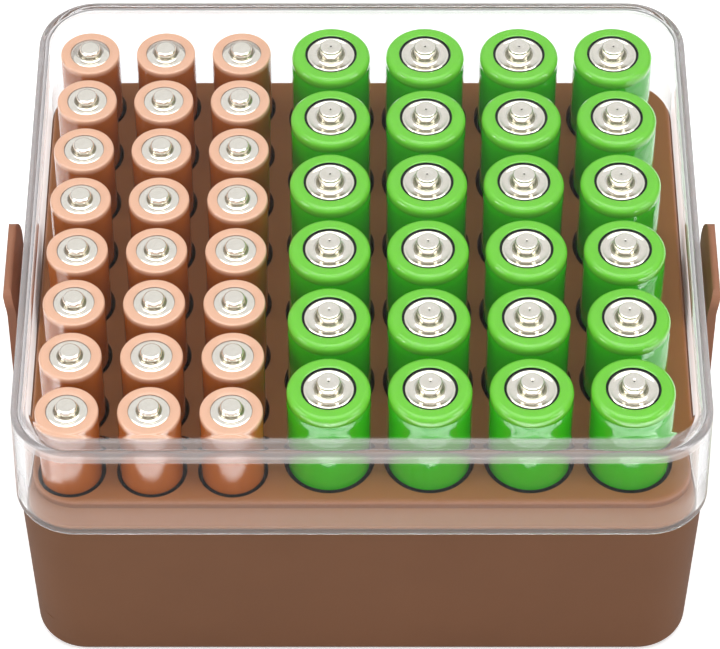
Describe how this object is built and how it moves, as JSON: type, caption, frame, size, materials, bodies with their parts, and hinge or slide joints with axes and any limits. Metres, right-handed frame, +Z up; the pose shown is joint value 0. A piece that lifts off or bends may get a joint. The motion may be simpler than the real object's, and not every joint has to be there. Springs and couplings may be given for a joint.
{
  "type": "battery storage case",
  "caption": "Lidded storage case that holds round cells of two sizes upright in a perforated tray, with a clear lift-off lid and side latches.",
  "frame": {"origin": "under the middle of the case, on the surface that its feet stand on", "axes": "+X along the case's length, to the right as seen from the front; +Y to the back; +Z up, out of the lid"},
  "size_m": [0.1228, 0.1054, 0.057],
  "materials": {
    "tub_plastic": "satin",
    "tray_plastic": "satin",
    "latch_plastic": "satin",
    "clear_plastic": "gloss",
    "large_cell_jacket": "gloss",
    "small_cell_jacket": "satin"
  },
  "bodies": {
    "case": {"base_tub": "tub_plastic", "cell_tray": "tray_plastic", "large_cell_r1_c1": "large_cell_jacket", "large_cell_r1_c2": "large_cell_jacket", "large_cell_r1_c3": "large_cell_jacket", "large_cell_r1_c4": "large_cell_jacket", "large_cell_r2_c1": "large_cell_jacket", "large_cell_r2_c2": "large_cell_jacket", "large_cell_r2_c3": "large_cell_jacket", "large_cell_r2_c4": "large_cell_jacket", "large_cell_r3_c1": "large_cell_jacket", "large_cell_r3_c2": "large_cell_jacket", "large_cell_r3_c3": "large_cell_jacket", "large_cell_r3_c4": "large_cell_jacket", "large_cell_r4_c1": "large_cell_jacket", "large_cell_r4_c2": "large_cell_jacket", "large_cell_r4_c3": "large_cell_jacket", "large_cell_r4_c4": "large_cell_jacket", "large_cell_r5_c1": "large_cell_jacket", "large_cell_r5_c2": "large_cell_jacket", "large_cell_r5_c3": "large_cell_jacket", "large_cell_r5_c4": "large_cell_jacket", "large_cell_r6_c1": "large_cell_jacket", "large_cell_r6_c2": "large_cell_jacket", "large_cell_r6_c3": "large_cell_jacket", "large_cell_r6_c4": "large_cell_jacket", "small_cell_r1_c1": "small_cell_jacket", "small_cell_r1_c2": "small_cell_jacket", "small_cell_r1_c3": "small_cell_jacket", "small_cell_r2_c1": "small_cell_jacket", "small_cell_r2_c2": "small_cell_jacket", "small_cell_r2_c3": "small_cell_jacket", "small_cell_r3_c1": "small_cell_jacket", "small_cell_r3_c2": "small_cell_jacket", "small_cell_r3_c3": "small_cell_jacket", "small_cell_r4_c1": "small_cell_jacket", "small_cell_r4_c2": "small_cell_jacket", "small_cell_r4_c3": "small_cell_jacket", "small_cell_r5_c1": "small_cell_jacket", "small_cell_r5_c2": "small_cell_jacket", "small_cell_r5_c3": "small_cell_jacket", "small_cell_r6_c1": "small_cell_jacket", "small_cell_r6_c2": "small_cell_jacket", "small_cell_r6_c3": "small_cell_jacket", "small_cell_r7_c1": "small_cell_jacket", "small_cell_r7_c2": "small_cell_jacket", "small_cell_r7_c3": "small_cell_jacket", "small_cell_r8_c1": "small_cell_jacket", "small_cell_r8_c2": "small_cell_jacket", "small_cell_r8_c3": "small_cell_jacket"},
    "lid": {"lid": "clear_plastic"},
    "latch_left": {"latch_left": "latch_plastic"},
    "latch_right": {"latch_right": "latch_plastic"}
  },
  "joints": [
    {"name": "lid_lift", "type": "slide", "parent": "case", "child": "lid", "axis": [0, 0, 1], "range_m": [0, 0.03]},
    {"name": "latch_left_swing", "type": "hinge", "parent": "case", "child": "latch_left", "pos_m": [-0.05898, 0, 0.025], "axis": [0, -1, 0], "range_deg": [0, 160]},
    {"name": "latch_right_swing", "type": "hinge", "parent": "case", "child": "latch_right", "pos_m": [0.05898, 0, 0.025], "axis": [0, 1, 0], "range_deg": [0, 160]}
  ]
}
